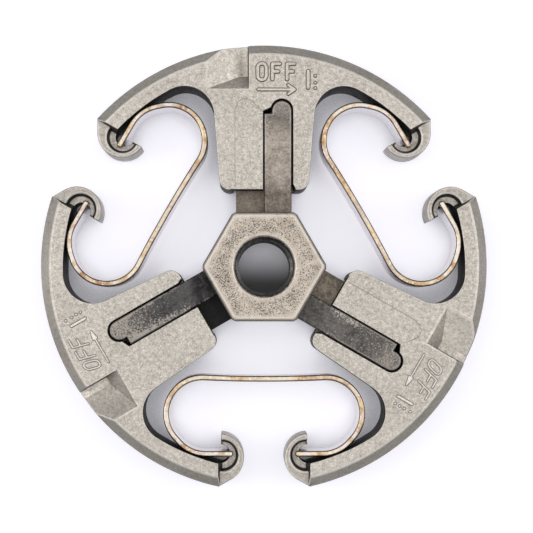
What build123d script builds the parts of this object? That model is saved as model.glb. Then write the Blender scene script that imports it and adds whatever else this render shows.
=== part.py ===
import math
import os

from build123d import *

# Centrifugal clutch with three shoes, at rest, hex face up.
# Millimetres. Z is the bore axis and the hub's back face lies on z = 0.
# The shoe is drawn with its arm along +Y, the spring with its open side toward +Y.

# drum and shoes
drum_radius = 39.7
shoe_travel = 0.7
shoe_depth = 12.0
rim_wall = 3.85
rim_bevel_run = 1.65
rim_bevel_drop = 1.2
stem_wall = 2.6
stem_corner = 1.8
stem_lean = 1.05
bay_radius = 5.2

# hooks, placed across from and along the line midway between two arms
pocket_radius = 1.6
pocket_across = 7.6
hook_radius = 4.3
hook_shift = (0.25, 0.72)
hook_tip_shift = -0.05
hook_step_shift = 0.15
hook_step_run = 0.3
recess_radius = 2.75
recess_shift = (-0.3, 0.27)
recess_depth = 1.5
recess_taper = 16.0

# removal ramp sunk in the top of each shoe
ramp_run = 5.7
ramp_floor = 1.6
ramp_step_x = -2.8
ramp_step_run = 0.2
ramp_depth = 2.4
ramp_width = 7.8

# spider: hex boss and three arms, each a high rail beside a low one
hex_across_flats = 19.0
hex_corner_trim = 0.22
hub_rise = 2.4
hub_edge = 0.5
bore_radius = 5.0
bore_mouth = 0.5
high_rail_width = 4.78
low_rail_width = 4.95
rail_height = 8.0
rail_edge = 0.2
nose_radius = 1.7
nose_rise = 2.25
crown_wall = 9.6
foot_gap = 4.0

# running clearances between an arm and its shoe
side_gap = 0.18
web_gap = 0.12
end_gap = 0.25
layer_gap = 0.15
notch_rise = 0.4
notch_fall = 0.65
slot_flare = 1.0

# return spring: a flat strip on edge, its forked tips over the ledges of two hooks
strip_thickness = 0.9
strip_margin = 1.0
strip_rim_gap = 0.12
strip_flank_gap = 1.55
crest_turn = 48
flat_length = 1.0
back_turn = 2.7
ear_reach = 0.45
ear_gap = 0.15
fork_gap = 0.3

arm_count = 3

# places that follow from these sizes
half_pitch = 180 / arm_count
arm_angles = [90 + 2 * half_pitch * number for number in range(arm_count)]
crown_radius = drum_radius - shoe_travel
rim_inner_radius = crown_radius - rim_wall
slot_end_y = crown_radius - crown_wall
nose_y = slot_end_y - end_gap - nose_radius
shoulder_y = slot_end_y - end_gap - nose_rise
foot_y = hex_across_flats / 2 + foot_gap
foot_half = low_rail_width + side_gap + stem_wall
hub_height = shoe_depth + hub_rise
hook_top = shoe_depth - rim_bevel_drop
ledge_top = hook_top - recess_depth
hook_tip_across = pocket_across + hook_tip_shift
hook_step_across = pocket_across + hook_step_shift
mid_plane = Plane.XY.offset(shoe_depth / 2)
arm_line = Axis((0, 0, shoe_depth / 2), (0, 1, 0))
sin_pitch = math.sin(math.radians(half_pitch))
cos_pitch = math.cos(math.radians(half_pitch))


# point of the right hook, across from and along the line midway to the next arm
def midway(across, along):
    return (along * sin_pitch - across * cos_pitch, along * cos_pitch + across * sin_pitch)


def polar(centre, radius, degrees):
    turn = math.radians(degrees)
    return (centre[0] + radius * math.cos(turn), centre[1] + radius * math.sin(turn))


def bearing(centre, point):
    return math.degrees(math.atan2(point[1] - centre[1], point[0] - centre[0]))


# half chord of a circle at a distance from its centre
def half_chord(radius, distance):
    return math.sqrt(radius**2 - distance**2)


# room for one rail in a shoe, open at the stem's foot and at the top
def rail_slot(width):
    right = width + side_gap
    end_radius = nose_radius + side_gap
    end_x = right - end_radius
    end_y = slot_end_y - end_radius
    notch_x = end_x - half_chord(end_radius, notch_rise)
    notch_y = end_y + notch_rise
    with BuildPart() as slot:
        with BuildSketch(Plane.XY.offset(shoe_depth - rail_height - layer_gap)):
            with BuildLine():
                Polyline(
                    (notch_x, notch_y),
                    (-web_gap, notch_y - notch_fall),
                    (-web_gap, foot_y - slot_flare),
                    (right + slot_flare, foot_y - slot_flare),
                    (right, foot_y + slot_flare),
                    (right, end_y),
                )
                ThreePointArc((right, end_y), (end_x, slot_end_y), (notch_x, notch_y))
            make_face()
        extrude(amount=shoe_depth)
    return slot.part


# one rail, its root inside the hex boss
def arm_rail(width):
    nose_x = width - nose_radius
    nose_left = nose_x - nose_radius
    root_y = (bore_radius + hex_across_flats / 2) / 2
    with BuildPart() as rail:
        with BuildSketch(Plane.XY.offset(shoe_depth - rail_height)):
            with BuildLine():
                Polyline(
                    (nose_left, nose_y),
                    (nose_left, shoulder_y),
                    (0, shoulder_y),
                    (0, root_y),
                    (width, root_y),
                    (width, nose_y),
                )
                ThreePointArc((width, nose_y), (nose_x, nose_y + nose_radius), (nose_left, nose_y))
            make_face()
        extrude(amount=rail_height)
        top = rail.faces().sort_by(Axis.Z)[-1]
        chamfer(top.edges().sort_by(Axis.Y)[1:], rail_edge)
    return rail.part


# turning points of the shoe's outline, right half
arc_centre = (0, -shoe_travel)
pocket_along = half_chord(rim_inner_radius - pocket_radius, pocket_across)
hook_across = pocket_across + hook_shift[0]
hook_along = pocket_along + hook_shift[1]
pocket_centre = midway(pocket_across, pocket_along)
hook_centre = midway(hook_across, hook_along)
end_x = hook_centre[0] + hook_radius
end_turn = math.degrees(math.acos(end_x / drum_radius))
tip_fall = half_chord(hook_radius, hook_across - hook_tip_across)
hook_tip = midway(hook_tip_across, hook_along - tip_fall)
pocket_fall = half_chord(pocket_radius, pocket_across - hook_tip_across)
pocket_start = midway(hook_tip_across, pocket_along - pocket_fall)
pocket_from = bearing(pocket_centre, pocket_start)
pocket_turn = bearing((0, 0), pocket_centre)
foot = (foot_half, foot_y)
bay_x = foot_half + stem_lean + bay_radius
bay_centre = (bay_x, half_chord(rim_inner_radius - bay_radius, bay_x))
bay_turn = bearing((0, 0), bay_centre)
flank_turn = bearing(foot, bay_centre) + math.degrees(math.asin(bay_radius / math.dist(foot, bay_centre)))

# bevel that runs round the shoe's rim
with BuildPart() as rim_bevel:
    with BuildSketch(Plane((0, -shoe_travel, 0), x_dir=(1, 0, 0), z_dir=(0, -1, 0))):
        with BuildLine():
            Polyline(
                (drum_radius - 1.5 * rim_bevel_run, shoe_depth + 0.5 * rim_bevel_drop),
                (drum_radius + 0.5 * rim_bevel_run, shoe_depth - 1.5 * rim_bevel_drop),
                (drum_radius + 0.5 * rim_bevel_run, shoe_depth + 0.5 * rim_bevel_drop),
                close=True,
            )
        make_face()
    revolve(axis=Axis((0, -shoe_travel, 0), (0, 0, 1)))

# hook face, lower than the shoe's, and the ledge sunk in it round the pocket
hook_near = hook_along - 1.2 * hook_radius
hook_far = hook_along + 1.7 * hook_radius
step_plane = Plane(
    midway(0, hook_near) + (0,), x_dir=(-cos_pitch, sin_pitch, 0), z_dir=(sin_pitch, cos_pitch, 0)
)
with BuildPart() as hook_cut:
    with BuildSketch(step_plane):
        with BuildLine():
            Polyline(
                (hook_step_across, hook_top),
                (hook_step_across + 2 * hook_step_run, hook_top + 2 * rim_bevel_drop),
                (0, hook_top + 2 * rim_bevel_drop),
                (0, hook_top),
                close=True,
            )
        make_face()
    extrude(amount=hook_far - hook_near)
    with BuildSketch(Plane.XY.offset(hook_top)):
        with Locations(midway(pocket_across + recess_shift[0], pocket_along + recess_shift[1])):
            Circle(recess_radius)
        with BuildLine():
            Polyline(
                midway(hook_step_across, hook_near),
                midway(hook_step_across, hook_far),
                midway(0, hook_far),
                midway(0, hook_near),
                close=True,
            )
        make_face(mode=Mode.INTERSECT)
    extrude(amount=-recess_depth, taper=recess_taper)

# ramp floor, cut back along its slanted inner wall
ramp_inner_y = crown_radius - ramp_width
ramp_end_x = ramp_step_x - ramp_floor
ramp_start_x = ramp_end_x - ramp_run
with BuildPart() as ramp:
    with BuildSketch(Plane.XZ.offset(-ramp_inner_y)):
        with BuildLine():
            Polyline(
                (ramp_start_x - ramp_run, shoe_depth + ramp_depth),
                (ramp_end_x, shoe_depth - ramp_depth),
                (ramp_step_x - ramp_step_run / 2, shoe_depth - ramp_depth),
                (ramp_step_x + ramp_step_run / 2, shoe_depth),
                (ramp_step_x + ramp_step_run / 2, shoe_depth + ramp_depth),
                close=True,
            )
        make_face()
    extrude(amount=-1.5 * ramp_width)
    with BuildSketch(Plane.YZ.offset(ramp_start_x - ramp_run)):
        with BuildLine():
            Polyline(
                (ramp_inner_y - ramp_depth, shoe_depth + ramp_depth),
                (ramp_inner_y + 2 * ramp_depth, shoe_depth - 2 * ramp_depth),
                (ramp_inner_y + 2 * ramp_width, shoe_depth - 2 * ramp_depth),
                (ramp_inner_y + 2 * ramp_width, shoe_depth + ramp_depth),
                close=True,
            )
        make_face()
    extrude(amount=3 * ramp_run, mode=Mode.INTERSECT)

# half a turn about the arm's centre line carries the high rail and its slot to the low ones
high_slot = rail_slot(high_rail_width)
low_slot = rail_slot(low_rail_width).rotate(arm_line, 180)
high_rail = arm_rail(high_rail_width)
low_rail = arm_rail(low_rail_width).rotate(arm_line, 180)
hook_cuts = [hook_cut.part, mirror(hook_cut.part, about=Plane.YZ)]
hook_cuts += [mirror(cut, about=mid_plane) for cut in hook_cuts]
rim_bevels = [rim_bevel.part, mirror(rim_bevel.part, about=mid_plane)]

with BuildPart() as shoe:
    with BuildSketch() as shoe_outline:
        with BuildLine():
            CenterArc(arc_centre, drum_radius, 90, end_turn - 90)
            Line(polar(arc_centre, drum_radius, end_turn), (end_x, hook_centre[1]))
            CenterArc(hook_centre, hook_radius, 0, bearing(hook_centre, hook_tip))
            Line(hook_tip, pocket_start)
            CenterArc(pocket_centre, pocket_radius, pocket_from, pocket_turn - pocket_from)
            CenterArc((0, 0), rim_inner_radius, pocket_turn, bay_turn - pocket_turn)
            CenterArc(bay_centre, bay_radius, bay_turn, 90 + flank_turn - bay_turn)
            Line(polar(bay_centre, bay_radius, 90 + flank_turn), foot)
            Line(foot, (0, foot_y))
            mirror(about=Plane.YZ)
        make_face()
        foot_corners = shoe_outline.vertices().group_by(Axis.Y)[0].sort_by(Axis.X)
        fillet([foot_corners[0], foot_corners[-1]], stem_corner)
    extrude(amount=shoe_depth)
    add(rim_bevels, mode=Mode.SUBTRACT)
    add(hook_cuts, mode=Mode.SUBTRACT)
    add([high_slot, low_slot], mode=Mode.SUBTRACT)
    add(ramp.part, mode=Mode.SUBTRACT)

with BuildPart() as spider:
    with BuildSketch():
        hexagon = RegularPolygon(hex_across_flats / 2, 6, major_radius=False)
        Circle(hexagon.radius - hex_corner_trim, mode=Mode.INTERSECT)
        Circle(bore_radius, mode=Mode.SUBTRACT)
    extrude(amount=hub_height)
    chamfer(spider.faces().sort_by(Axis.Z)[-1].outer_wire().edges(), hub_edge)
    chamfer(spider.faces().sort_by(Axis.Z)[-1].inner_wires().edges(), bore_mouth)
    for angle in arm_angles:
        add([high_rail.rotate(Axis.Z, angle - 90), low_rail.rotate(Axis.Z, angle - 90)])

# the strip's arm runs over the pocket's centre, and its crest just clears the rim
strip_tip = pocket_across - pocket_radius - ear_reach
fork_root = pocket_across - pocket_radius + fork_gap
crest_orbit = rim_inner_radius - strip_rim_gap - strip_thickness / 2
flat_run = flat_length * math.cos(math.radians(crest_turn))
flat_fall = flat_length * math.sin(math.radians(crest_turn))


def crest_across(bend):
    return half_chord(crest_orbit - bend, pocket_along - bend)


# room that a strip of this bend radius leaves beside the stem's flank
def flank_room(bend):
    centre = midway(crest_across(bend) + flat_run, pocket_along - bend - flat_fall)
    aside = math.dist(foot, centre) * math.sin(math.radians(flank_turn - bearing(foot, centre)))
    return aside - bend - strip_thickness / 2


# the bends take the largest radius that leaves the flank its gap
strip_bend, bend_limit = 0, rim_inner_radius / 3
for halving in range(40):
    trial = (strip_bend + bend_limit) / 2
    if flank_room(trial) > strip_flank_gap:
        strip_bend = trial
    else:
        bend_limit = trial

# strip centre line, left half from the tip: arm, crest, flat, side and back
with BuildPart() as spring:
    with BuildSketch(Plane.XY.offset(strip_margin)):
        with BuildLine():
            arm = Line((-strip_tip, pocket_along), (-crest_across(strip_bend), pocket_along))
            crest = JernArc(arm @ 1, arm % 1, strip_bend, crest_turn)
            flat = PolarLine(crest @ 1, flat_length, direction=crest % 1)
            side = JernArc(flat @ 1, flat % 1, strip_bend, 180 - crest_turn + back_turn)
            back_radius = -(side @ 1).X / math.sin(math.radians(back_turn))
            JernArc(side @ 1, side % 1, back_radius, -back_turn)
            mirror(about=Plane.YZ)
        trace(line_width=strip_thickness)
    extrude(amount=shoe_depth - 2 * strip_margin)
    # the tips are forked, so that a hook's web sits between two ears
    with BuildSketch(Plane.XZ.offset(strip_bend - pocket_along)):
        with Locations((0, shoe_depth / 2)):
            Rectangle(2 * fork_root, 2 * (ledge_top + ear_gap) - shoe_depth)
    extrude(amount=-2 * strip_bend, mode=Mode.SUBTRACT)

os.makedirs("parts", exist_ok=True)
spider.part.label = "spider_hub"
export_step(spider.part, "parts/spider_hub.step")
for number, angle in enumerate(arm_angles, 1):
    placed_shoe = shoe.part.rotate(Axis.Z, angle - 90)
    placed_shoe.label = f"clutch_shoe_{number}"
    export_step(placed_shoe, f"parts/clutch_shoe_{number}.step")
    placed_spring = spring.part.rotate(Axis.Z, angle + half_pitch - 90)
    placed_spring.label = f"return_spring_{number}"
    export_step(placed_spring, f"parts/return_spring_{number}.step")
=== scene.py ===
import math

import bmesh
import bpy
from mathutils import Matrix, Vector
from mathutils.bvhtree import BVHTree
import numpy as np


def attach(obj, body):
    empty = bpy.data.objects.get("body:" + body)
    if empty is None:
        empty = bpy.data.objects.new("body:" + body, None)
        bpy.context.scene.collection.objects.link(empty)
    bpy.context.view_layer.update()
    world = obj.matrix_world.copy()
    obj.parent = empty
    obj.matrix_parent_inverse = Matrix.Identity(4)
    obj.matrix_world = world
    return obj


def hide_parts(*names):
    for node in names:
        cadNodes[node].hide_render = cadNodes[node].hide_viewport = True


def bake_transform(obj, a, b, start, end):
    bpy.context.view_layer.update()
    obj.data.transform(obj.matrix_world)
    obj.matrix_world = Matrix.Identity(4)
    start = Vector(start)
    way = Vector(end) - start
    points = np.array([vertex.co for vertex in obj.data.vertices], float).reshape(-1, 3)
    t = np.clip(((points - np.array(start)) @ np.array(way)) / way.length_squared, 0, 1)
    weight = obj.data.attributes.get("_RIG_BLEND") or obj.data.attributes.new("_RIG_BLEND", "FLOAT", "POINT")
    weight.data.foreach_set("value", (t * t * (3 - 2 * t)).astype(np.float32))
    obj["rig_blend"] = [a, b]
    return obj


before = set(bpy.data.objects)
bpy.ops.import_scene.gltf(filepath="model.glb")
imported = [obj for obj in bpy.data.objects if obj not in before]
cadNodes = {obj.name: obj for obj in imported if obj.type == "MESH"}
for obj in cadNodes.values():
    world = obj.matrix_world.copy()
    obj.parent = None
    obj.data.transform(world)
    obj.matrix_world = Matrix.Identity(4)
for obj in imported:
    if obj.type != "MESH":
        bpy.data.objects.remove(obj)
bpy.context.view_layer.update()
scene = bpy.context.scene
mm = 0.001
shoeTop, shoeMiddle = 12.0, 6.0  # heights in millimetres
armAngles = {1: 90, 2: 210, 3: 330}  # each shoe and its arm, round the bore axis
print("frame loaded, nodes:", len(cadNodes))


# shader helpers

def plug(tree, socket, value):
    if isinstance(value, bpy.types.NodeSocket):
        tree.links.new(value, socket)
    else:
        socket.default_value = value


def calc(tree, operation, first, second=0.0, third=0.0, clamp=False):
    node = tree.nodes.new("ShaderNodeMath")
    node.operation = operation
    node.use_clamp = clamp
    for socket, value in zip(node.inputs, (first, second, third)):
        plug(tree, socket, value)
    return node.outputs[0]


def spread(tree, value, low, high, toLow=0.0, toHigh=1.0, smooth=True):
    node = tree.nodes.new("ShaderNodeMapRange")
    node.interpolation_type = "SMOOTHSTEP" if smooth else "LINEAR"
    for socket, item in zip(node.inputs, (value, low, high, toLow, toHigh)):
        plug(tree, socket, item)
    return node.outputs[0]


def blendColour(tree, share, first, second, mode="MIX"):
    node = tree.nodes.new("ShaderNodeMix")
    node.data_type = "RGBA"
    node.blend_type = mode
    plug(tree, node.inputs[0], share)
    plug(tree, node.inputs[6], first)
    plug(tree, node.inputs[7], second)
    return node.outputs[2]


def noise(tree, vector, scale, detail=2.0, rough=0.5):
    node = tree.nodes.new("ShaderNodeTexNoise")
    plug(tree, node.inputs["Vector"], vector)
    plug(tree, node.inputs["Scale"], scale)
    node.inputs["Detail"].default_value = detail
    node.inputs["Roughness"].default_value = rough
    return node.outputs[0]


def cells(tree, vector, scale):
    node = tree.nodes.new("ShaderNodeTexVoronoi")
    plug(tree, node.inputs["Vector"], vector)
    plug(tree, node.inputs["Scale"], scale)
    return node.outputs["Distance"]


def ramp(tree, value, stops):
    node = tree.nodes.new("ShaderNodeValToRGB")
    while len(node.color_ramp.elements) < len(stops):
        node.color_ramp.elements.new(1.0)
    for element, (place, colour) in zip(node.color_ramp.elements, stops):
        element.position = place
        element.color = (*colour, 1)
    plug(tree, node.inputs[0], value)
    return node.outputs[0]


def restPlace(tree):
    return tree.nodes.new("ShaderNodeTexCoord").outputs["Object"]


def axisOf(tree, vector):
    node = tree.nodes.new("ShaderNodeSeparateXYZ")
    plug(tree, node.inputs[0], vector)
    return node.outputs


def facing(tree):
    return axisOf(tree, tree.nodes.new("ShaderNodeNewGeometry").outputs["Normal"])[2]


def startGroup(name, inputs, outputs):
    tree = bpy.data.node_groups.new(name, "ShaderNodeTree")
    for label, kind, value in inputs:
        socket = tree.interface.new_socket(name=label, in_out="INPUT", socket_type=kind)
        if value is not None:
            socket.default_value = value
    for label, kind in outputs:
        tree.interface.new_socket(name=label, in_out="OUTPUT", socket_type=kind)
    return tree, tree.nodes.new("NodeGroupInput").outputs, tree.nodes.new("NodeGroupOutput").inputs


def useGroup(tree, group, **values):
    node = tree.nodes.new("ShaderNodeGroup")
    node.node_tree = group
    for label, value in values.items():
        plug(tree, node.inputs[label], value)
    return node.outputs


def startMaterial(name, metallic, roughness):
    material = bpy.data.materials.new(name)
    material.use_nodes = True
    tree = material.node_tree
    shader = tree.nodes["Principled BSDF"]
    shader.inputs["Metallic"].default_value = metallic
    shader.inputs["Roughness"].default_value = roughness
    return material, tree, shader.inputs


def bump(tree, shader, height, depth, strength=1.0):
    node = tree.nodes.new("ShaderNodeBump")
    node.inputs["Strength"].default_value = strength
    node.inputs["Distance"].default_value = depth
    plug(tree, node.inputs["Height"], height)
    plug(tree, shader["Normal"], node.outputs[0])


floatSocket, vectorSocket = "NodeSocketFloat", "NodeSocketVector"

# pressed powder grain: tone about 0.5 all over, open pores, and a height for bump
sinterGrain, given, made = startGroup(
    "sinterGrain",
    [("Grain", floatSocket, 4200.0), ("Pores", floatSocket, 0.5), ("Cloud", floatSocket, 0.5)],
    [("Tone", floatSocket), ("Pore", floatSocket), ("Height", floatSocket)],
)
place = restPlace(sinterGrain)
fine = noise(sinterGrain, place, given["Grain"], 3.0, 0.62)
coarse = noise(sinterGrain, place, calc(sinterGrain, "MULTIPLY", given["Grain"], 0.36), 2.0, 0.5)
cloud = noise(sinterGrain, place, 150.0, 3.0, 0.55)
tone = calc(sinterGrain, "MULTIPLY_ADD", calc(sinterGrain, "SUBTRACT", fine, 0.5), 1.15, 0.5)
tone = calc(sinterGrain, "MULTIPLY_ADD", calc(sinterGrain, "SUBTRACT", coarse, 0.5), 0.6, tone)
drift = calc(sinterGrain, "MULTIPLY", calc(sinterGrain, "SUBTRACT", cloud, 0.5), given["Cloud"])
plug(sinterGrain, made["Tone"], calc(sinterGrain, "ADD", tone, drift, clamp=True))
poreCell = cells(sinterGrain, place, calc(sinterGrain, "MULTIPLY", given["Grain"], 0.55))
poreRoom = noise(sinterGrain, place, calc(sinterGrain, "MULTIPLY", given["Grain"], 0.2), 1.0)
poreSize = calc(sinterGrain, "MULTIPLY", spread(sinterGrain, poreRoom, 0.45, 0.75), given["Pores"])
pore = spread(sinterGrain, calc(sinterGrain, "SUBTRACT", poreSize, poreCell), -0.05, 0.12)
plug(sinterGrain, made["Pore"], pore)
plug(sinterGrain, made["Height"], calc(sinterGrain, "SUBTRACT", tone, pore))

# outer edges painted lighter, broken up by noise: partly real wear, partly a painted highlight on the rounded
# edges; the mask is kept on the mesh
edgeWearAndSheen, given, made = startGroup(
    "edgeWearAndSheen",
    [("Break", floatSocket, 900.0), ("Share", floatSocket, 0.6)],
    [("Mask", floatSocket)],
)
edgeMark = edgeWearAndSheen.nodes.new("ShaderNodeAttribute")
edgeMark.attribute_name = "roundedEdgeWearSheen"
patch = noise(edgeWearAndSheen, restPlace(edgeWearAndSheen), given["Break"], 3.0, 0.6)
lowEnd = calc(edgeWearAndSheen, "SUBTRACT", 0.85, given["Share"])
kept = spread(edgeWearAndSheen, patch, lowEnd, calc(edgeWearAndSheen, "ADD", lowEnd, 0.25))
plug(edgeWearAndSheen, made["Mask"], calc(edgeWearAndSheen, "MULTIPLY", edgeMark.outputs["Fac"], kept))

# fine flecks where another layer shows through, Cover from 0 to 1
flecks, given, made = startGroup(
    "flecks",
    [("Vector", vectorSocket, None), ("Size", floatSocket, 3.6), ("Cover", floatSocket, 0.4)],
    [("Mask", floatSocket)],
)
fleckNoise = noise(flecks, given["Vector"], given["Size"], 4.0, 0.68)
edgeOf = spread(flecks, given["Cover"], 0.0, 1.0, 0.74, 0.34, smooth=False)
plug(flecks, made["Mask"], spread(flecks, fleckNoise, edgeOf, calc(flecks, "ADD", edgeOf, 0.07)))
print("shared effects ready: grain, rubbed edges, flecks")


# shoe finishes

sinterTop = {
    "dark": (0.235, 0.214, 0.184), "light": (0.870, 0.815, 0.742), "pore": (0.16, 0.145, 0.122),
    "edge": (0.90, 0.865, 0.81), "steep": 0.60, "wallFade": {1: 0.0, 2: 0.0, 3: 0.32},
    "hookTone": 0.84, "footTone": 1.28, "rampTone": {1: 1.16, 2: 0.78, 3: 1.26}, "bumpDepth": 0.00003,
}
# painted shade: the rim chamfer is a darker copy of the top's sinter colour, for its outward-leaning face
rimChamfer = {"dark": (0.250, 0.234, 0.205), "light": (0.520, 0.490, 0.440), "bumpDepth": 0.000015}
# painted shade: near-black wall finish, darker than the sinter, for the walls in the bays and gaps
shoeWallShade = {"dark": (0.008, 0.007, 0.006), "light": (0.052, 0.047, 0.040)}
# painted shade: dark finish for the steps and the recess lip
stepWallShade = {"dark": (0.022, 0.020, 0.017), "light": (0.085, 0.078, 0.068)}
hookWall = {"dark": (0.30, 0.285, 0.262), "light": (0.66, 0.635, 0.600)}
rimTrack = {"dark": (0.24, 0.23, 0.215), "light": (0.50, 0.485, 0.46), "lines": 9000.0}


def paintSinterTop(number):
    look = sinterTop
    material, tree, shader = startMaterial(f"sinterTop{number}", 0.75, 0.55)
    grain = useGroup(tree, sinterGrain, Grain=3900.0, Pores=0.12, Cloud=0.22)
    colour = ramp(tree, grain["Tone"], [(0.0, look["dark"]), (1.0, look["light"])])
    colour = blendColour(tree, grain["Pore"], colour, (*look["pore"], 1))
    lean = facing(tree)
    onRamp = calc(tree, "MULTIPLY", spread(tree, lean, 0.80, 0.88), spread(tree, lean, 0.975, 0.94))
    height = axisOf(tree, restPlace(tree))[2]
    fromMiddle = calc(tree, "ABSOLUTE", calc(tree, "SUBTRACT", height, shoeMiddle * mm))
    # each shoe's ramp floor has its own tone, and is painted brighter towards the step as painted light against
    # the step's shade
    slope = spread(tree, fromMiddle, 5.4 * mm, 3.6 * mm,
                   look["rampTone"][number], look["rampTone"][number] * 1.14)
    tone = calc(tree, "MULTIPLY_ADD", onRamp, calc(tree, "SUBTRACT", slope, 1.0), 1.0)
    colour = blendColour(tree, 1.0, colour, tone, "MULTIPLY")
    low = calc(tree, "MULTIPLY", spread(tree, fromMiddle, 4.95 * mm, 4.85 * mm), spread(tree, lean, 0.96, 0.99))
    flatFoot = calc(tree, "MULTIPLY", spread(tree, fromMiddle, 3.42 * mm, 3.48 * mm),
                    spread(tree, fromMiddle, 3.85 * mm, 3.75 * mm))
    flatFoot = calc(tree, "MULTIPLY", flatFoot, spread(tree, lean, 0.96, 0.99))
    lowTone = spread(tree, low, 0.0, 1.0, 1.0, look["hookTone"])
    lowTone = calc(tree, "MULTIPLY_ADD", flatFoot, look["footTone"] - look["hookTone"], lowTone)
    colour = blendColour(tree, 1.0, colour, lowTone, "MULTIPLY")
    wall = calc(tree, "MULTIPLY", spread(tree, fromMiddle, 3.6 * mm, 5.4 * mm),
                spread(tree, fromMiddle, 5.84 * mm, 5.78 * mm))
    # painted light: shoe 3's ramp wall is painted paler upwards, against the shade it stands in
    wall = calc(tree, "MULTIPLY_ADD", wall, look["wallFade"][number], look["steep"])
    steep = spread(tree, lean, 0.50, 0.86, wall, 1.0)  # painted shade: steeper faces are darkened by how far they lean
    colour = blendColour(tree, 1.0, colour, steep, "MULTIPLY")
    # painted highlight and wear: the rounded edges are painted lighter with the edge colour
    wearAndSheen = useGroup(tree, edgeWearAndSheen, Break=1500.0, Share=0.62)["Mask"]
    colour = blendColour(tree, calc(tree, "MULTIPLY", wearAndSheen, 0.4), colour, (*look["edge"], 1))
    plug(tree, shader["Base Color"], colour)
    plug(tree, shader["Roughness"], spread(tree, grain["Tone"], 0.2, 0.8, 0.64, 0.48))
    bump(tree, shader, grain["Height"], look["bumpDepth"], 0.8)
    return material


def paintRimChamfer():
    look = rimChamfer
    material, tree, shader = startMaterial("rimChamfer", 0.75, 0.48)
    grain = useGroup(tree, sinterGrain, Grain=5200.0, Pores=0.15, Cloud=0.6)
    colour = ramp(tree, grain["Tone"], [(0.1, look["dark"]), (0.9, look["light"])])
    plug(tree, shader["Base Color"], colour)
    plug(tree, shader["Roughness"], spread(tree, grain["Tone"], 0.2, 0.8, 0.54, 0.42))
    bump(tree, shader, grain["Height"], look["bumpDepth"], 0.6)
    return material


def paintWall(name, look, metallic):
    material, tree, shader = startMaterial(name, metallic, 0.6)
    grain = useGroup(tree, sinterGrain, Grain=3000.0, Pores=0.5, Cloud=0.8)
    plug(tree, shader["Base Color"], ramp(tree, grain["Tone"], [(0.15, look["dark"]), (0.95, look["light"])]))
    plug(tree, shader["Roughness"], spread(tree, grain["Tone"], 0.2, 0.8, 0.7, 0.5))
    bump(tree, shader, grain["Height"], 0.00004, 0.8)
    return material


def paintRimTrack():
    look = rimTrack
    material, tree, shader = startMaterial("rimTrack", 0.9, 0.38)
    place = tree.nodes.new("ShaderNodeMapping")  # stretched round the rim, so the turned lines lie along it
    place.inputs["Scale"].default_value = (0.02, 0.02, 1.0)
    plug(tree, place.inputs["Vector"], restPlace(tree))
    lines = noise(tree, place.outputs[0], look["lines"], 2.0, 0.6)
    glaze = noise(tree, restPlace(tree), 260.0, 4.0, 0.6)
    shine = calc(tree, "MULTIPLY_ADD", calc(tree, "SUBTRACT", glaze, 0.5), 0.8, lines)
    plug(tree, shader["Base Color"], ramp(tree, shine, [(0.25, look["dark"]), (0.75, look["light"])]))
    plug(tree, shader["Roughness"], spread(tree, shine, 0.3, 0.7, 0.48, 0.3))
    bump(tree, shader, lines, 0.00001, 0.5)
    return material


sinterTops = {number: paintSinterTop(number) for number in armAngles}
shoeSides = [paintRimChamfer(), paintWall("shoeWallShade", shoeWallShade, 0.6), paintRimTrack(),
             paintWall("hookWall", hookWall, 0.7), paintWall("stepWallShade", stepWallShade, 0.5)]
print("shoe finishes:", [m.name for m in (*sinterTops.values(), *shoeSides)])


# spider finishes

hubLook = {
    "metal": (0.350, 0.303, 0.254), "light": (0.730, 0.660, 0.572), "fleck": (0.075, 0.064, 0.053),
    "stain": (0.330, 0.278, 0.226), "rim": (0.80, 0.735, 0.65), "bare": 9.35, "clean": 5.75,
    "fleckSize": 4500.0, "fleckCover": 0.58,
}
armLooks = {  # colours from root to nose and on the low rail, and where paler flecks and dark clouds lie
    1: {"root": (0.140, 0.120, 0.106), "middle": (0.325, 0.290, 0.256), "nose": (0.184, 0.165, 0.150),
        "low": (0.165, 0.140, 0.116),
        "tint": (0.370, 0.330, 0.275), "pale": (0.540, 0.500, 0.450),
        "fleckRoot": 0.06, "fleckNose": 0.40, "fleckEdge": 0.30,
        "edgeFrom": 9.0, "edgeTo": 40.0, "rise": (11.5, 19.5), "blotch": 0.25, "cloud": 0.08,
        "stain": 25.4, "stainShare": 0.36, "rim": (0.30, 0.70), "shine": 0.42},
    2: {"root": (0.009, 0.009, 0.010), "middle": (0.080, 0.077, 0.077), "nose": (0.230, 0.208, 0.183),
        "low": (0.014, 0.013, 0.013),
        "tint": (0.085, 0.080, 0.086), "pale": (0.420, 0.388, 0.345),
        "fleckRoot": 0.06, "fleckNose": 0.74, "fleckEdge": 0.58,
        "edgeFrom": 12.5, "edgeTo": 40.0, "rise": (9.5, 15.0), "blotch": 0.7, "cloud": 0.40,
        "stain": 11.0, "stainShare": 0.4, "rim": (0.40, 0.85), "shine": 0.42},
    3: {"root": (0.078, 0.072, 0.067), "middle": (0.100, 0.094, 0.089), "nose": (0.195, 0.178, 0.160),
        "low": (0.215, 0.183, 0.148),
        "tint": (0.135, 0.125, 0.118), "pale": (0.480, 0.445, 0.400),
        "fleckRoot": 0.27, "fleckNose": 0.54, "fleckEdge": 0.55,
        "edgeFrom": 12.5, "edgeTo": 21.0, "rise": (9.5, 15.0), "blotch": 0.7, "cloud": 0.5,
        "stain": 22.5, "stainShare": 0.3, "rim": (0.35, 0.85), "shine": 0.42},
}


def boreReach(tree, place):
    flat = tree.nodes.new("ShaderNodeVectorMath")
    flat.operation = "MULTIPLY"
    flat.inputs[1].default_value = (1, 1, 0)
    plug(tree, flat.inputs[0], place)
    reach = tree.nodes.new("ShaderNodeVectorMath")
    reach.operation = "LENGTH"
    plug(tree, reach.inputs[0], flat.outputs[0])
    return reach.outputs["Value"]


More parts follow.
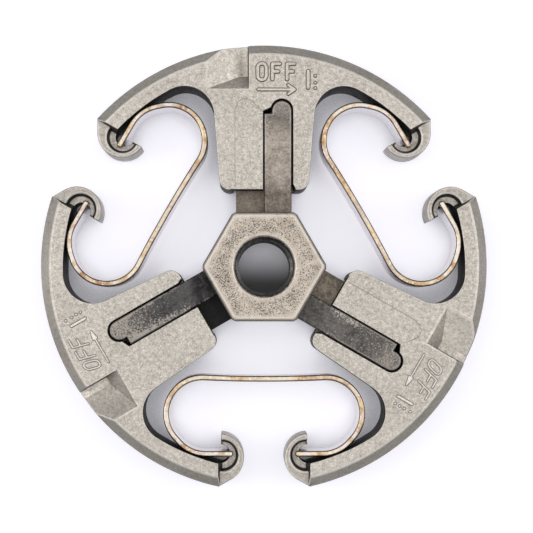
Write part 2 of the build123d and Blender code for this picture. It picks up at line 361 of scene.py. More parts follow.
def paintHubFace():
    look = hubLook
    material, tree, shader = startMaterial("hubFace", 0.8, 0.45)
    place = restPlace(tree)
    grain = useGroup(tree, sinterGrain, Grain=2300.0, Pores=0.3, Cloud=0.6)
    across = []
    for turn in (30, 90, 150):  # distance out from the bore, measured square to each pair of flats
        along = tree.nodes.new("ShaderNodeVectorMath")
        along.operation = "DOT_PRODUCT"
        along.inputs[1].default_value = (math.cos(math.radians(turn)), math.sin(math.radians(turn)), 0)
        plug(tree, along.inputs[0], place)
        across.append(calc(tree, "ABSOLUTE", along.outputs["Value"]))
    toFlat = calc(tree, "MAXIMUM", calc(tree, "MAXIMUM", across[0], across[1]), across[2])
    fromBore = boreReach(tree, place)
    inner = spread(tree, toFlat, look["bare"] * mm, (look["bare"] - 1.3) * mm)
    inner = calc(tree, "MULTIPLY", inner,
                 spread(tree, fromBore, look["clean"] * mm, (look["clean"] + 0.7) * mm, 0.55, 1.0))
    patchy = spread(tree, noise(tree, place, 240.0, 3.0, 0.6), 0.30, 0.62, 0.72, 1.0)
    cover = calc(tree, "MULTIPLY", calc(tree, "MULTIPLY", inner, patchy), look["fleckCover"])
    mask = useGroup(tree, flecks, Vector=place, Size=look["fleckSize"], Cover=cover)["Mask"]
    base = ramp(tree, grain["Tone"], [(0.0, look["metal"]), (1.0, look["light"])])
    brown = calc(tree, "MULTIPLY", spread(tree, noise(tree, place, 600.0, 4.0, 0.65), 0.42, 0.64), inner)
    base = blendColour(tree, calc(tree, "MULTIPLY", brown, 0.5), base, (*look["stain"], 1))
    # painted highlight and wear: the band along the hex's edges and the rounded edges are painted lighter
    base = blendColour(tree, spread(tree, toFlat, 8.5 * mm, 9.3 * mm, 0.0, 0.55), base, (*look["rim"], 1))
    colour = blendColour(tree, calc(tree, "MULTIPLY", mask, 0.8), base, (*look["fleck"], 1))
    wearAndSheen = useGroup(tree, edgeWearAndSheen, Break=800.0, Share=0.62)["Mask"]
    colour = blendColour(tree, calc(tree, "MULTIPLY", wearAndSheen, 0.75), colour, (*look["rim"], 1))
    steep = spread(tree, facing(tree), 0.55, 0.88, 0.20, 1.0)  # painted shade: faces steeper than the burnished edge are darkened
    colour = blendColour(tree, 1.0, colour, steep, "MULTIPLY")
    plug(tree, shader["Base Color"], colour)
    # burnished edges scatter the light
    plug(tree, shader["Metallic"], spread(tree, wearAndSheen, 0.0, 1.0, 0.8, 0.2))
    plug(tree, shader["Roughness"], spread(tree, mask, 0.0, 1.0, 0.44, 0.62))
    bump(tree, shader, calc(tree, "SUBTRACT", grain["Height"], mask), 0.00003, 0.8)
    return material


def paintArm(number):
    look = armLooks[number]
    material, tree, shader = startMaterial(f"armOxide{number}", 0.8, look["shine"])
    turned = tree.nodes.new("ShaderNodeMapping")  # the arm's own frame in millimetres, arm along Y
    turned.vector_type = "TEXTURE"
    turned.inputs["Rotation"].default_value = (0, 0, math.radians(armAngles[number] - 90))
    turned.inputs["Scale"].default_value = (mm, mm, mm)
    plug(tree, turned.inputs["Vector"], restPlace(tree))
    local = turned.outputs[0]
    sideways, along, up = axisOf(tree, local)
    grain = useGroup(tree, sinterGrain, Grain=2500.0, Pores=0.2, Cloud=0.7)
    drift = calc(tree, "SUBTRACT", noise(tree, local, 0.30, 3.0), 0.5)
    wander = calc(tree, "MULTIPLY_ADD", drift, 7.0, along)
    colour = blendColour(tree, spread(tree, wander, *look["rise"]), (*look["root"], 1), (*look["middle"], 1))
    colour = blendColour(tree, spread(tree, wander, 21.0, 27.5), colour, (*look["nose"], 1))
    tintShare = spread(tree, noise(tree, local, 0.8, 4.0, 0.65), 0.42, 0.64, 0.0, look["blotch"])
    colour = blendColour(tree, tintShare, colour, (*look["tint"], 1))
    off = calc(tree, "ABSOLUTE", calc(tree, "SUBTRACT", wander, look["stain"]))
    stain = calc(tree, "MULTIPLY", spread(tree, off, 2.4, 0.3), look["stainShare"])
    lowRail = spread(tree, up, 8.6, 8.2)
    colour = blendColour(tree, lowRail, colour, (*look["low"], 1))
    cloud = spread(tree, noise(tree, local, 0.55, 5.0, 0.68), 0.48, 0.66, 0.0, look["cloud"])
    colour = blendColour(tree, calc(tree, "MAXIMUM", cloud, stain), colour,
                         tuple(0.35 * c for c in look["root"]) + (1,))
    shade = ramp(tree, grain["Tone"], [(0.0, (0.22, 0.22, 0.22)), (1.0, (1.78, 1.76, 1.73))])
    colour = blendColour(tree, 1.0, colour, shade, "MULTIPLY")
    nearEdge = calc(tree, "MAXIMUM", spread(tree, sideways, 1.9, 0.1),
                    spread(tree, sideways, 3.9, 4.7, 0.0, 0.7))
    nearEdge = calc(tree, "MULTIPLY", nearEdge, spread(tree, along, look["edgeFrom"], look["edgeFrom"] + 2.5))
    nearEdge = calc(tree, "MULTIPLY", nearEdge, spread(tree, along, look["edgeTo"], look["edgeTo"] - 2.5))
    patches = spread(tree, noise(tree, local, 0.7, 3.0, 0.6), 0.38, 0.60, 0.25, 1.0)
    cover = spread(tree, wander, 12.0, 27.0, look["fleckRoot"], look["fleckNose"], smooth=False)
    cover = calc(tree, "MULTIPLY_ADD", calc(tree, "MULTIPLY", nearEdge, patches), look["fleckEdge"], cover)
    worn = useGroup(tree, flecks, Vector=local, Size=3.4, Cover=cover)["Mask"]
    worn = calc(tree, "MULTIPLY", worn, spread(tree, up, 8.2, 11.0, 0.08, 0.85))  # the low rail is never rubbed
    colour = blendColour(tree, worn, colour, (*look["pale"], 1))
    # painted highlight and wear: the rounded edges are painted pale, more towards the nose
    rimShare = spread(tree, along, 12.0, 25.0, *look["rim"])
    wearAndSheen = useGroup(tree, edgeWearAndSheen, Break=1300.0, Share=rimShare)["Mask"]
    wearAndSheen = calc(tree, "MULTIPLY", wearAndSheen, spread(tree, up, 8.2, 11.0, 0.1, 0.9))
    colour = blendColour(tree, calc(tree, "MULTIPLY", wearAndSheen, 0.75), colour, (*look["pale"], 1))
    # painted shade: steep faces are darkened, which blackens the gaps beside the arms
    steep = spread(tree, facing(tree), 0.1, 0.55, 0.06, 1.0)
    colour = blendColour(tree, 1.0, colour, steep, "MULTIPLY")
    plug(tree, shader["Base Color"], colour)
    plug(tree, shader["Roughness"], spread(tree, worn, 0.0, 1.0, look["shine"], look["shine"] + 0.12))
    bump(tree, shader, calc(tree, "ADD", grain["Height"], worn), 0.00002, 0.7)
    return material


boreLook = {"dark": (0.030, 0.030, 0.031), "light": (0.230, 0.224, 0.215), "mouth": (5.22, 5.34)}


def paintBore():
    look = boreLook
    material, tree, shader = startMaterial("boreSteel", 0.85, 0.36)
    grain = useGroup(tree, sinterGrain, Grain=2600.0, Pores=0.2, Cloud=1.0)
    colour = ramp(tree, grain["Tone"], [(0.1, look["dark"]), (0.95, look["light"])])
    ragged = calc(tree, "MULTIPLY_ADD", calc(tree, "SUBTRACT", grain["Tone"], 0.5), 0.0004,
                  boreReach(tree, restPlace(tree)))
    worn = spread(tree, ragged, look["mouth"][0] * mm, look["mouth"][1] * mm)
    colour = blendColour(tree, worn, colour, (*hubLook["light"], 1))
    plug(tree, shader["Base Color"], colour)
    plug(tree, shader["Roughness"], spread(tree, grain["Tone"], 0.2, 0.8, 0.46, 0.3))
    bump(tree, shader, grain["Height"], 0.00002, 0.6)
    return material


spiderFinishes = [paintHubFace(), paintArm(1), paintArm(2), paintArm(3), paintBore()]
print("spider finishes:", [m.name for m in spiderFinishes])


# spring finish

springLook = {
    "heat": [(0.30, (0.310, 0.180, 0.095)), (0.40, (0.460, 0.300, 0.160)), (0.48, (0.570, 0.425, 0.250)),
             (0.56, (0.660, 0.560, 0.395)), (0.64, (0.665, 0.590, 0.485))],
    "silver": (0.580, 0.525, 0.480), "speck": (0.74, 0.69, 0.65), "glint": (0.68, 0.64, 0.62),
    "line": (0.125, 0.090, 0.050), "tips": (28.5, 32.5), "side": (0.86, 0.83, 0.86),
    "sideDark": (0.70, 0.67, 0.70),
}


def paintSpring():
    look = springLook
    material, tree, shader = startMaterial("springTemper", 1.0, 0.34)
    place = restPlace(tree)
    wide = calc(tree, "SUBTRACT", noise(tree, place, 120.0, 2.0, 0.5), 0.5)
    heat = calc(tree, "MULTIPLY_ADD", wide, 0.9, noise(tree, place, 560.0, 4.0, 0.7))
    temper = ramp(tree, heat, look["heat"])
    streak = noise(tree, place, 2200.0, 3.0, 0.6)
    up = calc(tree, "ABSOLUTE", facing(tree))
    atTip = spread(tree, boreReach(tree, place), look["tips"][0] * mm, look["tips"][1] * mm)
    bright = spread(tree, noise(tree, place, 200.0, 3.0, 0.6), 0.42, 0.62, 0.0, 0.6)
    sparks = spread(tree, noise(tree, place, 900.0, 2.0, 0.5), 0.48, 0.58, 0.0, 0.7)
    glint = calc(tree, "MULTIPLY", sparks, atTip)
    # painted highlight: silver gathers where the rounded edge faces up, straw at the edges
    bright = calc(tree, "MULTIPLY", bright, spread(tree, up, 0.86, 0.97, 0.25, 1.0))
    temper = blendColour(tree, bright, temper, (*look["silver"], 1))
    temper = blendColour(tree, spread(tree, streak, 0.55, 0.66, 0.0, 0.75), temper, (*look["speck"], 1))
    temper = blendColour(tree, calc(tree, "MULTIPLY", glint, spread(tree, up, 0.86, 0.97, 0.2, 1.0)), temper,
                         (*look["glint"], 1))
    rolled = tree.nodes.new("ShaderNodeMapping")  # stretched along the strip, so the rolling lines follow it
    rolled.inputs["Scale"].default_value = (0.03, 0.03, 1.0)
    plug(tree, rolled.inputs["Vector"], place)
    # the flat sides are pale steel; their lilac tint is a painted reflection of the paper's lilac shade
    side = ramp(tree, noise(tree, rolled.outputs[0], 5200.0, 3.0, 0.6),
                [(0.3, look["sideDark"]), (0.65, look["side"])])
    colour = blendColour(tree, spread(tree, up, 0.03, 0.12), side, (*look["line"], 1))  # painted shade: a dark brown line on the rounded corners
    colour = blendColour(tree, spread(tree, up, 0.66, 0.90), colour, temper)
    plug(tree, shader["Base Color"], colour)
    plug(tree, shader["Roughness"], spread(tree, streak, 0.3, 0.7, 0.40, 0.24))
    bump(tree, shader, streak, 0.000008, 0.6)
    return material


springFinish = paintSpring()
print("spring finish:", springFinish.name)


# pieces

hookPlace = {"centre": (25.0, 23.5), "radius": 4.3, "top": 10.8, "ledge": (24.88, 22.8), "ledgeRadius": 2.75,
             "step": 7.75}
shoeCut = {"steps": 3, "plain": 0.14, "rimEdge": 0.24, "hook": 0.34, "hookStep": 0.30, "softRamp": 0.32,
           "rimRadius": 39.7, "rimCentre": -0.7}
spiderCut = {"steps": 3, "arm": 0.08, "hub": 0.26, "mouth": 0.10, "hexOut": 9.45, "mouthOut": 5.62}
springCut = {"steps": 5, "edge": 0.32, "crown": 0.06}
topFinish, chamferFinish, wallFinish, trackFinish, hookFinish, stepFinish = range(6)  # as listed for a shoe
hubFinish, boreFinish = 0, 4  # the arms' finishes lie between them, by number


def softenedCopy(nodeName, steps, widthAt):
    bm = bmesh.new()
    bm.from_mesh(cadNodes[nodeName].data)
    bmesh.ops.remove_doubles(bm, verts=bm.verts, dist=1e-6)
    bmesh.ops.dissolve_limit(bm, angle_limit=math.radians(0.6), verts=bm.verts, edges=bm.edges)
    share = bm.edges.layers.float.new("bevel_weight_edge")
    widest = 0.5
    for edge in bm.edges:
        if edge.is_convex and edge.calc_face_angle(0) > math.radians(22):
            edge[share] = widthAt(edge) / widest
    draft = bpy.data.meshes.new("softenDraft")
    bm.to_mesh(draft)
    bm.free()
    draft.materials.append(None)
    draft.materials.append(None)
    holder = bpy.data.objects.new("softenDraft", draft)
    scene.collection.objects.link(holder)
    rounding = holder.modifiers.new("rounding", "BEVEL")
    rounding.limit_method = "WEIGHT"
    rounding.width = widest * mm
    rounding.segments = steps
    rounding.use_clamp_overlap = False
    rounding.material = 1  # tells the rounded faces from the rest
    graph = bpy.context.evaluated_depsgraph_get()
    softened = bpy.data.meshes.new_from_object(holder.evaluated_get(graph))
    bpy.data.objects.remove(holder)
    bm = bmesh.new()
    bm.from_mesh(softened)
    worn = bm.faces.layers.float.new("roundedEdgeWearSheen")
    for face in bm.faces:
        face[worn] = float(face.material_index == 1)
    solid = cadNodes[nodeName].data
    surface = BVHTree.FromPolygons([v.co for v in solid.vertices], [p.vertices[:] for p in solid.polygons])
    for vert in bm.verts:  # a rounding never stands outside the solid
        spot, outward = surface.find_nearest(vert.co)[:2]
        if (vert.co - spot).dot(outward) > 0:
            vert.co = spot
    return bm


def standFor(bm, pieceName, nodeName, finishes, pick):
    worn = bm.faces.layers.float["roundedEdgeWearSheen"]
    for face in bm.faces:
        face.smooth = True
        face.material_index = pick(face, face[worn] > 0.5)
    for edge in bm.edges:
        edge.smooth = edge.calc_face_angle(0) < math.radians(34)
    mesh = bpy.data.meshes.new(pieceName)
    bm.to_mesh(mesh)
    bm.free()
    for finish in finishes:
        mesh.materials.append(finish)
    piece = bpy.data.objects.new(pieceName, mesh)
    scene.collection.objects.link(piece)
    flat = piece.modifiers.new("flatFaces", "WEIGHTED_NORMAL")
    flat.keep_sharp = True
    flat.weight = 100
    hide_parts(nodeName)
    return piece


def shoeFrame(number):
    return Matrix.Rotation(math.radians(90 - armAngles[number]), 3, "Z")


def ontoShoe(number):  # from millimetres on shoe 1's top to the place on this shoe
    turn = Matrix.Rotation(math.radians(armAngles[number] - 90), 4, "Z")
    return turn @ Matrix.Translation((0, 0, shoeTop * mm)) @ Matrix.Scale(mm, 4)


def fromHook(spot, centre):
    return math.hypot(abs(spot.x) - centre[0], spot.y - centre[1])


def shoeWidth(number):
    turn = shoeFrame(number)

    def width(edge):
        spot = turn @ (edge.verts[0].co + edge.verts[1].co) / 2 / mm
        lift = shoeMiddle + abs(spot.z - shoeMiddle)  # hooks and rim are the same on both faces
        leans = sorted(abs(face.normal.z) for face in edge.link_faces)
        fromStep = abs(0.866 * spot.y - 0.5 * abs(spot.x) - hookPlace["step"])  # the step runs at 30 degrees
        if fromStep < 0.25 and lift > 11.5 and abs(spot.x) > 18:
            return shoeCut["hookStep"]
        nearHook = fromHook(spot, hookPlace["centre"]) < hookPlace["radius"] + 0.2
        if nearHook and abs(lift - hookPlace["top"]) < 0.05:
            return shoeCut["hook"]
        if lift > 11.9 and leans[1] > 0.97 and 0.6 < leans[0] < 0.95 and math.hypot(spot.x, spot.y) > 36:
            return shoeCut["rimEdge"]
        if number == 3 and spot.z > 9.5 and -11 < spot.x < -2 and 30.8 < spot.y:  # its ramp has softer edges
            return shoeCut["softRamp"]
        return shoeCut["plain"]

    return width


def shoePick(number):
    turn = shoeFrame(number)

    def pick(face, rounded):
        spot = turn @ face.calc_center_median() / mm
        up = abs(face.normal.z)
        reach = math.hypot(spot.x, spot.y - shoeCut["rimCentre"])
        outward = turn @ face.normal
        radial = (outward.x * spot.x + outward.y * (spot.y - shoeCut["rimCentre"])) / reach
        if up < 0.2 and radial > 0.95 and reach > shoeCut["rimRadius"] - 0.25:
            return trackFinish
        atRim = radial > 0.25 and reach > shoeCut["rimRadius"] - 2.2
        if atRim and 0.3 < up < 0.97 and not (rounded and up > 0.86):
            return chamferFinish
        if rounded and abs(spot.x) < 5.4 and spot.y < 29.6 and up < 0.97:  # painted shade: the rail slot's rounded edges take the near-black wall finish
            return wallFinish
        # shaded lip of the recess
        if rounded and up < 0.75 and fromHook(spot, hookPlace["ledge"]) < hookPlace["ledgeRadius"] + 0.25:
            return stepFinish
        if up > 0.45:
            return topFinish
        if spot.z > 9.0 and -12 < spot.x < -2 and spot.y > 30.5 and radial > -0.5:  # the ramp's end step
            return stepFinish
        toHook = fromHook(spot, hookPlace["centre"])
        onHook = hookPlace["ledgeRadius"] + 0.6 < toHook < hookPlace["radius"] + 0.1
        if onHook or abs(spot.x) > 28.0 and toHook < 6.5:  # the hook's outside, as far as the rim
            return hookFinish
        if abs(spot.z - shoeMiddle) > 4.6 and toHook < 8.0:  # step from the rim down to the hook
            return stepFinish
        return wallFinish

    return pick


def spiderWidth(edge):
    spot = (edge.verts[0].co + edge.verts[1].co) / 2 / mm
    if math.hypot(spot.x, spot.y) < spiderCut["mouthOut"]:
        return spiderCut["mouth"]
    return spiderCut["hub"] if spot.z > 13.7 else spiderCut["arm"]


def spiderPick(face, rounded):
    spot = face.calc_center_median() / mm
    reach = math.hypot(spot.x, spot.y)
    inward = face.normal.x * spot.x + face.normal.y * spot.y
    if reach < spiderCut["mouthOut"] and inward < 0 and abs(face.normal.z) < 0.93:
        return boreFinish
    hexOut = max(abs(spot.x * math.cos(math.radians(t)) + spot.y * math.sin(math.radians(t)))
                 for t in (30, 90, 150))
    if hexOut < spiderCut["hexOut"] or spot.z > 12.2 or reach < 10.97:
        return hubFinish
    heading = math.degrees(math.atan2(spot.y, spot.x)) % 360
    return min(armAngles, key=lambda n: abs((heading - armAngles[n] + 180) % 360 - 180))


shoes = {}
for number in armAngles:
    bm = softenedCopy(f"clutch_shoe_{number}", shoeCut["steps"], shoeWidth(number))
    finishes = [sinterTops[number], *shoeSides]
    shoes[number] = standFor(bm, f"shoe{number}Sintered", f"clutch_shoe_{number}", finishes, shoePick(number))
    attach(shoes[number], f"shoe_{number}")
print("shoes:", [len(s.data.polygons) for s in shoes.values()])

bm = softenedCopy("spider_hub", spiderCut["steps"], spiderWidth)
worn = bm.faces.layers.float["roundedEdgeWearSheen"]
for face in bm.faces:
    if 0.3 < face.normal.z < 0.95:  # the arms' and hub's bevels are painted lighter as well: wear and painted highlight
        face[worn] = 1.0
spider = standFor(bm, "spiderSintered", "spider_hub", spiderFinishes, spiderPick)
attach(spider, "spider")
print("spider:", len(spider.data.polygons))

springs = {}
hookReach = 5.55  # the strip's tips, either side of the line midway between two arms
hookAlong = 32.6
for number, angle in armAngles.items():
    bm = softenedCopy(f"return_spring_{number}", springCut["steps"], lambda edge: springCut["edge"])
    bm.normal_update()
    for vert in bm.verts:  # rolled flanks stand a hair proud of the solid
        vert.co += Vector((vert.normal.x, vert.normal.y, 0)) * springCut["crown"] * mm
    springs[number] = standFor(bm, f"spring{number}Strip", f"return_spring_{number}", [springFinish],
                               lambda face, rounded: 0)
    midway = math.radians(angle + 60)
    outward = Vector((math.cos(midway), math.sin(midway), 0))
    across = Vector((-outward.y, outward.x, 0))
    first = (outward * hookAlong - across * hookReach + Vector((0, 0, shoeMiddle))) * mm
    last = (outward * hookAlong + across * hookReach + Vector((0, 0, shoeMiddle))) * mm
    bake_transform(springs[number], f"shoe_{number}", f"spring_{number}", start=first, end=last)
print("springs:", [len(s.data.polygons) for s in springs.values()])


# left-hand thread in the bore, M10 x 1

thread = {"pitch": 1.0, "root": 5.02, "crest": 4.56, "low": 0.5, "high": 13.5, "perTurn": 72,
          "flank": 0.42, "land": 0.09}


def cutThread():
    look = thread
    bm = bmesh.new()
    turns = (look["high"] - look["low"]) / look["pitch"]
    count = int(turns * look["perTurn"])
    section = [(look["root"], -look["flank"]), (look["crest"], -look["land"]),
               (look["crest"], look["land"]), (look["root"], look["flank"])]
    rows = []
    for step in range(count + 1):
        turn = -2 * math.pi * step / look["perTurn"]  # falls back as it climbs: left hand
        rise = look["low"] + look["pitch"] * step / look["perTurn"]
        fade = min(1.0, step / 30, (count - step) / 30)  # the first and last threads run out
        row = []
        for radius, lift in section:
            reach = look["root"] - (look["root"] - radius) * fade
            spot = Vector((reach * math.cos(turn), reach * math.sin(turn), rise + lift))
            row.append(bm.verts.new(spot * mm))
        rows.append(row)
    for low, high in zip(rows, rows[1:]):
        for side in range(len(section)):
            after = (side + 1) % len(section)
            bm.faces.new((low[side], low[after], high[after], high[side]))
    bm.faces.new(rows[0])
    bm.faces.new(rows[-1])
    bmesh.ops.recalc_face_normals(bm, faces=bm.faces)
    mesh = bpy.data.meshes.new("boreThread")
    bm.to_mesh(mesh)
    bm.free()
    mesh.materials.append(spiderFinishes[boreFinish])
    piece = bpy.data.objects.new("boreThread", mesh)
    scene.collection.objects.link(piece)
    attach(piece, "spider")
    return piece


threadPiece = cutThread()
print("thread:", len(threadPiece.data.polygons))


# raised marks on the shoes: OFF, its arrow, and the mould's bar and dots

topMarks = {  # millimetres; ring: left, foot, height, width; stems: x of each F, foot, top, arm, middle arm
    "stroke": 0.58, "thin": 0.48, "barStroke": 0.62, "dot": 0.48, "rise": 0.26, "slant": 0.0,
    "ring": (-1.16, 32.78, 2.88, 1.50), "stems": ((1.42, 3.98), 32.90, 35.60, 1.28, 1.02),
    "arrow": (-1.05, 5.35, 31.09, 0.80, 1.15), "solidHead": False,
    "bar": (7.68, 31.45, 34.30), "dots": [(8.93, 33.50), (8.93, 32.30), (8.93, 31.36)],
}
slantMarks = {
    "stroke": 0.29, "thin": 0.28, "barStroke": 0.46, "dot": 0.40, "rise": 0.20, "slant": 0.27,
    "ring": (-0.84, 33.22, 2.66, 1.42), "stems": ((1.39, 3.75), 33.25, 35.95, 1.42, 1.26),
    "arrow": (-0.75, 5.40, 31.80, 0.32, 1.50), "solidHead": True,
    "bar": (7.86, 31.55, 34.30), "dots": [(9.15, 34.68), (9.15, 33.52), (9.20, 32.60), (9.20, 31.72)],
}


markSteel = {"dark": (0.36, 0.335, 0.30), "light": (0.80, 0.755, 0.69)}
markPaintedHighlight = {"dark": (0.58, 0.555, 0.51), "light": (0.92, 0.895, 0.845)}  # slanted marks, painted lighter as a painted highlight on their strokes


def paintMarks(name, look):
    material, tree, shader = startMaterial(name, 0.75, 0.52)
    grain = useGroup(tree, sinterGrain, Grain=5600.0, Pores=0.05, Cloud=0.2)
    colour = ramp(tree, grain["Tone"], [(0.0, look["dark"]), (1.0, look["light"])])
    steep = spread(tree, facing(tree), 0.45, 0.97, 0.24, 1.0)  # painted shade: each stroke's steep sides are darkened, dark all round its foot
    plug(tree, shader["Base Color"], blendColour(tree, 1.0, colour, steep, "MULTIPLY"))
    plug(tree, shader["Roughness"], spread(tree, grain["Tone"], 0.2, 0.8, 0.60, 0.46))
    bump(tree, shader, grain["Height"], 0.00002, 0.6)
    return material


def markStrokes(look):
    left, foot, tall, wide = look["ring"]
    radius = wide / 2
    ring = []
    for step in range(25):
        turn = 2 * math.pi * step / 24
        lift = tall - radius if step < 13 else radius
        height = lift + radius * math.sin(turn)
        ring.append((left + radius + radius * math.cos(turn) + look["slant"] * height, foot + height))
    strokes = [(ring + ring[:1], look["stroke"])]
    stems, foot, top, arm, middleArm = look["stems"]
    half = (foot + top) / 2
    for x in stems:
        lean = look["slant"] * (top - foot)
        strokes.append(([(x, foot), (x + lean, top), (x + lean + arm, top)], look["stroke"]))
        strokes.append(([(x + lean / 2, half), (x + lean / 2 + middleArm, half)], look["stroke"]))
    start, tip, level, half, back = look["arrow"]
    strokes.append(([(start, level), (tip, level)], look["thin"]))
    strokes.append(([(tip - back, level + half), (tip, level), (tip - back, level - half)], look["thin"]))
    if look["solidHead"]:
        strokes.append(([(tip - back, level + half), (tip - back, level - half), (tip, level)], look["thin"]))
    x, low, high = look["bar"]
    strokes.append(([(x, low), (x, high)], look["barStroke"]))
    for x, y in look["dots"]:
        strokes.append(([(x, y), (x + 0.01, y)], look["dot"]))
    return strokes


def castMarks(number, look, finish):
    bm = bmesh.new()  # in millimetres first, because the remesh has a lower limit
    for path, width in markStrokes(look):
        for (x0, y0), (x1, y1) in zip(path, path[1:]):
            heading = math.atan2(y1 - y0, x1 - x0)
            loops = []
            for level, grow in ((-0.3, 0.14), (0.0, 0.12), (look["rise"], -0.06)):
                loop = []
                for (x, y), base in (((x1, y1), -90), ((x0, y0), 90)):
                    for step in range(9):
                        turn = heading + math.radians(base + 180 * step / 8)
                        reach = width / 2 + grow
                        spot = (x + reach * math.cos(turn), y + reach * math.sin(turn), level)
                        loop.append(bm.verts.new(spot))
                loops.append(loop)
            for low, high in zip(loops, loops[1:]):
                for side in range(len(low)):
                    after = (side + 1) % len(low)
                    bm.faces.new((low[side], low[after], high[after], high[side]))
            bm.faces.new(list(reversed(loops[0])))
            bm.faces.new(loops[-1])
    draft = bpy.data.meshes.new("markDraft")
    bm.to_mesh(draft)
    bm.free()
    holder = bpy.data.objects.new("markDraft", draft)
    scene.collection.objects.link(holder)
    merge = holder.modifiers.new("merge", "REMESH")
    merge.mode = "VOXEL"
    merge.voxel_size = 0.045
    merge.use_smooth_shade = True
    soften = holder.modifiers.new("soften", "SMOOTH")
    soften.factor = 0.5
    soften.iterations = 1
    graph = bpy.context.evaluated_depsgraph_get()
    mesh = bpy.data.meshes.new_from_object(holder.evaluated_get(graph))
    bpy.data.objects.remove(holder)
    mesh.transform(ontoShoe(number))
    mesh.materials.clear()
    mesh.materials.append(finish)
    piece = bpy.data.objects.new(f"shoe{number}Marks", mesh)
    piece.data.name = f"shoe{number}Marks"
    scene.collection.objects.link(piece)
    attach(piece, f"shoe_{number}")
    return piece


plainMark, highlightMark = paintMarks("markSteel", markSteel), paintMarks("markPaintedHighlight", markPaintedHighlight)
marks = [castMarks(1, topMarks, plainMark), castMarks(2, slantMarks, highlightMark),
         castMarks(3, slantMarks, highlightMark)]
print("marks:", [len(m.data.polygons) for m in marks])


# thin line that the core of the low rail's slot left on two of the shoes

mouldLine = {
    "path": [(-5.06, 13.95), (-5.14, 20.0), (-5.14, 27.5), (-4.75, 28.75), (-3.9, 29.4), (-3.1, 29.5),
             (-2.1, 29.0), (-1.35, 28.35), (-0.45, 27.35)],
    "half": 0.09, "rise": 0.045, "shoes": (1, 3),
}


def drawMouldLine(number):
    look = mouldLine
    bm = bmesh.new()
    rows = []
    path = [Vector((x, y)) for x, y in look["path"]]
    for step, spot in enumerate(path):
        ahead = path[min(step + 1, len(path) - 1)] - path[max(step - 1, 0)]
        aside = Vector((-ahead.y, ahead.x)).normalized() * look["half"]
        row = [(*(spot + aside), -0.02), (*spot, look["rise"]), (*(spot - aside), -0.02)]
        rows.append([bm.verts.new(point) for point in row])
    for low, high in zip(rows, rows[1:]):
        for side in range(3):
            after = (side + 1) % 3
            bm.faces.new((low[side], low[after], high[after], high[side]))
    bm.faces.new(rows[0])
    bm.faces.new(rows[-1])
    bmesh.ops.recalc_face_normals(bm, faces=bm.faces)
    mesh = bpy.data.meshes.new(f"shoe{number}MouldLine")
    bm.to_mesh(mesh)
    bm.free()
    mesh.transform(ontoShoe(number))
    mesh.materials.append(plainMark)
    piece = bpy.data.objects.new(f"shoe{number}MouldLine", mesh)
    scene.collection.objects.link(piece)
    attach(piece, f"shoe_{number}")
    return piece


lines = [drawMouldLine(number) for number in mouldLine["shoes"]]
print("mould lines:", len(lines))


# floor, light and camera

floorLook = {
    "size": 3.0, "diffuse": (0.605, 0.605, 0.625), "glow": (0.575, 0.570, 0.620),
    "gapShadeReach": 0.0065, "gapShadeGlow": (0.05, 0.52), "gapShadeTone": (0.02, 0.22),
    "boreShadowReach": 0.0056, "boreShadowFade": (-0.0032, 0.0040), "boreShadowTone": (0.36, 1.0),
    "whiteFrom": 0.07, "whiteTo": 0.30, "touching": 0.0004,
}
softboxes = {  # place, width, power: one overhead and one at each side
    "overhead": {"place": (0.0, 0.06, 0.55), "size": 0.80, "power": 1.75},
    "left": {"place": (-0.58, 0.0, 0.48), "size": 0.52, "power": 1.35},
    "right": {"place": (0.58, 0.05, 0.48), "size": 0.52, "power": 1.05},
}
lampColour = (1.0, 0.985, 0.965)
roomGrey = (0.30, 0.30, 0.31)
photoCamera = {"place": (-0.0044, -0.0083, 0.362), "lens": 135.35, "tilt": (1.3727, -0.7833)}  # tilt in degrees


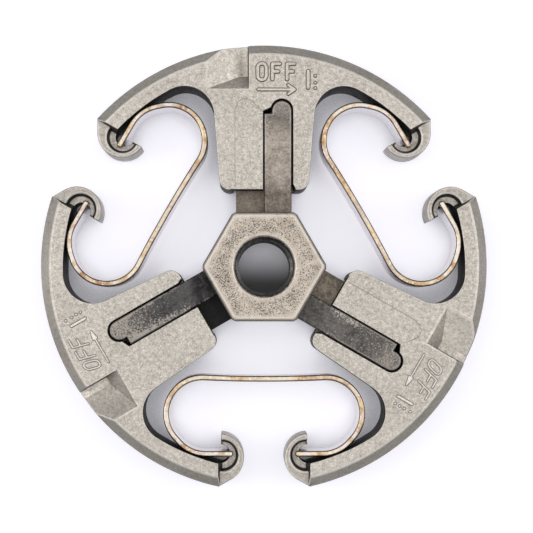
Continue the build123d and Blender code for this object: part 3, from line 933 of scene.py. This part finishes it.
def layFloor():
    look = floorLook
    half = look["size"] / 2
    mesh = bpy.data.meshes.new("paperFloor")
    corners = [(-half, -half, 0), (half, -half, 0), (half, half, 0), (-half, half, 0)]
    mesh.from_pydata(corners, [], [(0, 1, 2, 3)])
    floor = bpy.data.objects.new("paperFloor", mesh)
    floor.location.z = -0.00005
    scene.collection.objects.link(floor)
    material = bpy.data.materials.new("whitePaper")
    material.use_nodes = True
    tree = material.node_tree
    tree.nodes.remove(tree.nodes["Principled BSDF"])
    paper = tree.nodes.new("ShaderNodeBsdfDiffuse")
    place = tree.nodes.new("ShaderNodeVectorMath")
    place.operation = "LENGTH"
    plug(tree, place.inputs[0], restPlace(tree))
    away = place.outputs["Value"]
    gapShade = tree.nodes.new("ShaderNodeAmbientOcclusion")  # painted shade: the paper is darkened in narrow gaps, where little light reaches
    gapShade.samples = 8
    gapShade.inputs["Distance"].default_value = look["gapShadeReach"]
    # painted shadow on the paper under the bore: its colour and glow darken there, most towards -y
    bore = spread(tree, axisOf(tree, restPlace(tree))[1], *look["boreShadowFade"], *look["boreShadowTone"])
    inBore = spread(tree, away, look["boreShadowReach"], look["boreShadowReach"] + 0.0005)
    tone = calc(tree, "MULTIPLY", calc(tree, "MAXIMUM", bore, inBore),
                spread(tree, gapShade.outputs["AO"], *look["gapShadeTone"], 0.08, 1.0))
    plug(tree, paper.inputs["Color"], blendColour(tree, 1.0, (*look["diffuse"], 1), tone, "MULTIPLY"))
    seen = tree.nodes.new("ShaderNodeLightPath").outputs
    glow = tree.nodes.new("ShaderNodeEmission")
    shown = calc(tree, "MAXIMUM", seen["Is Camera Ray"],
                 calc(tree, "MAXIMUM", seen["Is Glossy Ray"], seen["Is Transmission Ray"]))
    far = spread(tree, away, look["whiteFrom"], look["whiteTo"])
    # painted shade colour: the glow near the clutch is lavender, so the paper's shade reads lavender; further
    # out it is white
    plug(tree, glow.inputs["Color"], blendColour(tree, far, (*look["glow"], 1), (1, 1, 1, 1)))
    # painted shade: the glow fades in narrow gaps and under the bore
    clear = spread(tree, gapShade.outputs["AO"], *look["gapShadeGlow"], smooth=False)
    boreShadowGlow = calc(tree, "MULTIPLY", calc(tree, "SUBTRACT", bore, look["boreShadowTone"][0]), 0.75)
    clear = calc(tree, "MULTIPLY", clear, calc(tree, "MAXIMUM", inBore, boreShadowGlow))
    plug(tree, glow.inputs["Strength"], calc(tree, "MULTIPLY", shown, clear))
    both = tree.nodes.new("ShaderNodeAddShader")
    tree.links.new(paper.outputs[0], both.inputs[0])
    tree.links.new(glow.outputs[0], both.inputs[1])
    # the paper neither hides nor darkens the clutch's back, seen from below
    clearBack = tree.nodes.new("ShaderNodeMixShader")
    touching = calc(tree, "LESS_THAN", seen["Ray Length"], look["touching"])
    plug(tree, clearBack.inputs[0],
         calc(tree, "MAXIMUM", tree.nodes.new("ShaderNodeNewGeometry").outputs["Backfacing"], touching))
    tree.links.new(both.outputs[0], clearBack.inputs[1])
    tree.links.new(tree.nodes.new("ShaderNodeBsdfTransparent").outputs[0], clearBack.inputs[2])
    tree.links.new(clearBack.outputs[0], tree.nodes["Material Output"].inputs["Surface"])
    mesh.materials.append(material)


def lightRoom():
    for name, look in softboxes.items():
        lamp = bpy.data.lights.new(name, "AREA")
        lamp.shape = "DISK"
        lamp.size = look["size"]
        lamp.energy = look["power"]
        lamp.color = lampColour
        holder = bpy.data.objects.new(name, lamp)
        holder.location = look["place"]
        holder.rotation_euler = (-Vector(look["place"])).to_track_quat("-Z", "Y").to_euler()
        scene.collection.objects.link(holder)
    world = bpy.data.worlds.new("studio")
    scene.world = world
    world.use_nodes = True
    tree = world.node_tree
    room = tree.nodes["Background"]
    seen = tree.nodes.new("ShaderNodeLightPath").outputs
    plug(tree, room.inputs["Color"], blendColour(tree, seen["Is Camera Ray"], (*roomGrey, 1), (1, 1, 1, 1)))


def placeCamera():
    data = bpy.data.cameras.new("photoCamera")
    data.lens = photoCamera["lens"]
    data.sensor_width = 36.0
    data.clip_start = 0.01
    camera = bpy.data.objects.new("photoCamera", data)
    camera.location = photoCamera["place"]
    camera.rotation_euler = [math.radians(turn) for turn in (*photoCamera["tilt"], 0)]
    scene.collection.objects.link(camera)
    scene.camera = camera


layFloor()
lightRoom()
placeCamera()
scene.view_settings.view_transform = "Standard"
print("floor, light and camera placed")
